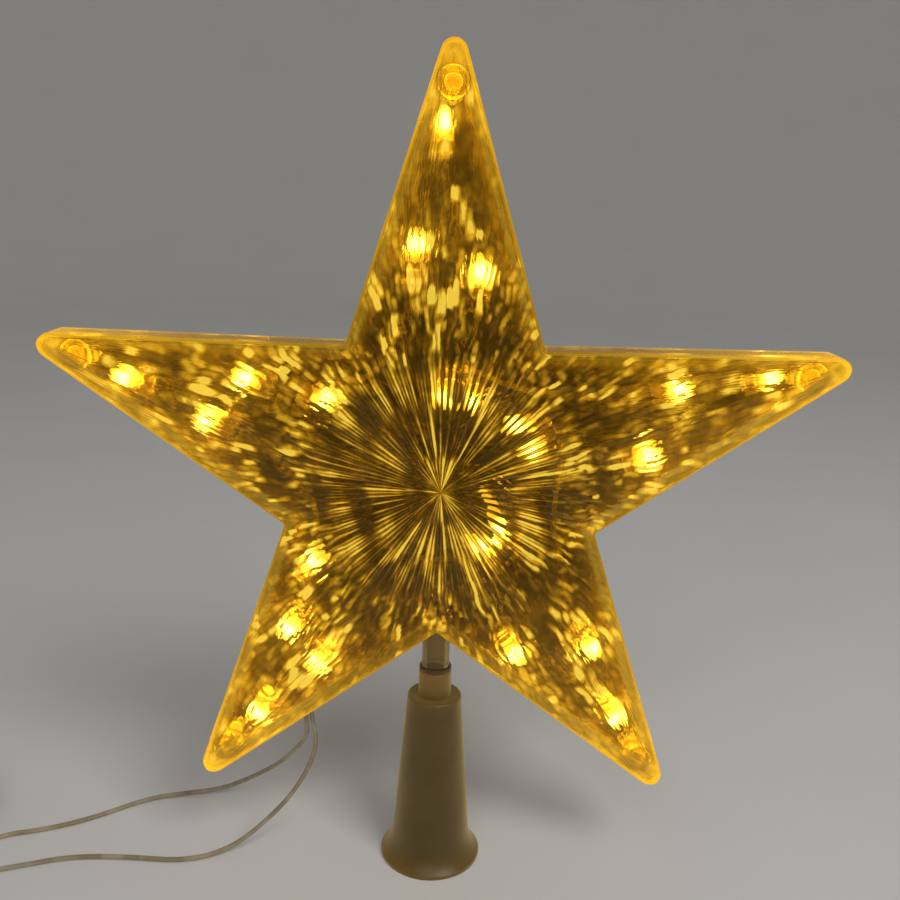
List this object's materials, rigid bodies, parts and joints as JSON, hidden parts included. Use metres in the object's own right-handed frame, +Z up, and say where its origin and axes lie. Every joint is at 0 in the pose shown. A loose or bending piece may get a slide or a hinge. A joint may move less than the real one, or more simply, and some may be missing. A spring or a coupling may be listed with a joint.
{
  "type": "christmas tree topper star",
  "caption": "Clear fluted star tree topper lit from inside by a string of lamps, turning on a neck tube that lifts out of a tapered frosted sleeve, with thin leads to a plug.",
  "frame": {"origin": "middle of the sleeve's foot, on the surface that it stands on", "axes": "+Z up along the neck tube, +X to the right of the star as seen from the front, the front faces -Y"},
  "size_m": [0.3578, 0.0483, 0.2141],
  "materials": {
    "clear_shell": "clear, fluted",
    "clear_tube": "clear",
    "frosted_sleeve": "frosted",
    "lamp": "clear, lit warm",
    "lamp_holder": "clear",
    "wire": "clear over bare copper",
    "tie": "plain",
    "plug": "moulded",
    "pins": "nickel plated"
  },
  "bodies": {
    "sleeve": {"base_sleeve": "frosted_sleeve"},
    "neck": {"neck_tube": "clear_tube"},
    "star": {"coil_tie": "tie", "front_shell": "clear_shell", "lead_back": "wire", "lead_coil": "wire", "lead_front": "wire", "led_holder_left_1": "lamp_holder", "led_holder_left_2": "lamp_holder", "led_holder_left_3": "lamp_holder", "led_holder_left_4": "lamp_holder", "led_holder_lower_left_1": "lamp_holder", "led_holder_lower_left_2": "lamp_holder", "led_holder_lower_left_3": "lamp_holder", "led_holder_lower_left_4": "lamp_holder", "led_holder_lower_right_1": "lamp_holder", "led_holder_lower_right_2": "lamp_holder", "led_holder_lower_right_3": "lamp_holder", "led_holder_lower_right_4": "lamp_holder", "led_holder_right_1": "lamp_holder", "led_holder_right_2": "lamp_holder", "led_holder_right_3": "lamp_holder", "led_holder_right_4": "lamp_holder", "led_holder_top_1": "lamp_holder", "led_holder_top_2": "lamp_holder", "led_holder_top_3": "lamp_holder", "led_holder_top_4": "lamp_holder", "led_left_1": "lamp", "led_left_2": "lamp", "led_left_3": "lamp", "led_left_4": "lamp", "led_lower_left_1": "lamp", "led_lower_left_2": "lamp", "led_lower_left_3": "lamp", "led_lower_left_4": "lamp", "led_lower_right_1": "lamp", "led_lower_right_2": "lamp", "led_lower_right_3": "lamp", "led_lower_right_4": "lamp", "led_right_1": "lamp", "led_right_2": "lamp", "led_right_3": "lamp", "led_right_4": "lamp", "led_top_1": "lamp", "led_top_2": "lamp", "led_top_3": "lamp", "led_top_4": "lamp", "plug_body": "plug", "plug_pin_sleeves": "plug", "plug_pins": "pins", "rear_shell": "clear_shell", "string_wires_left": "wire", "string_wires_lower_left": "wire", "string_wires_lower_right": "wire", "string_wires_right": "wire", "string_wires_top": "wire"}
  },
  "joints": [
    {"name": "neck_lift", "type": "slide", "parent": "sleeve", "child": "neck", "axis": [0, 0, 1], "range_m": [0, 0.014]},
    {"name": "star_swivel", "type": "hinge", "parent": "neck", "child": "star", "pos_m": [0, 0, 0.07], "axis": [0, 0, 1], "range_deg": [-180, 180]}
  ]
}
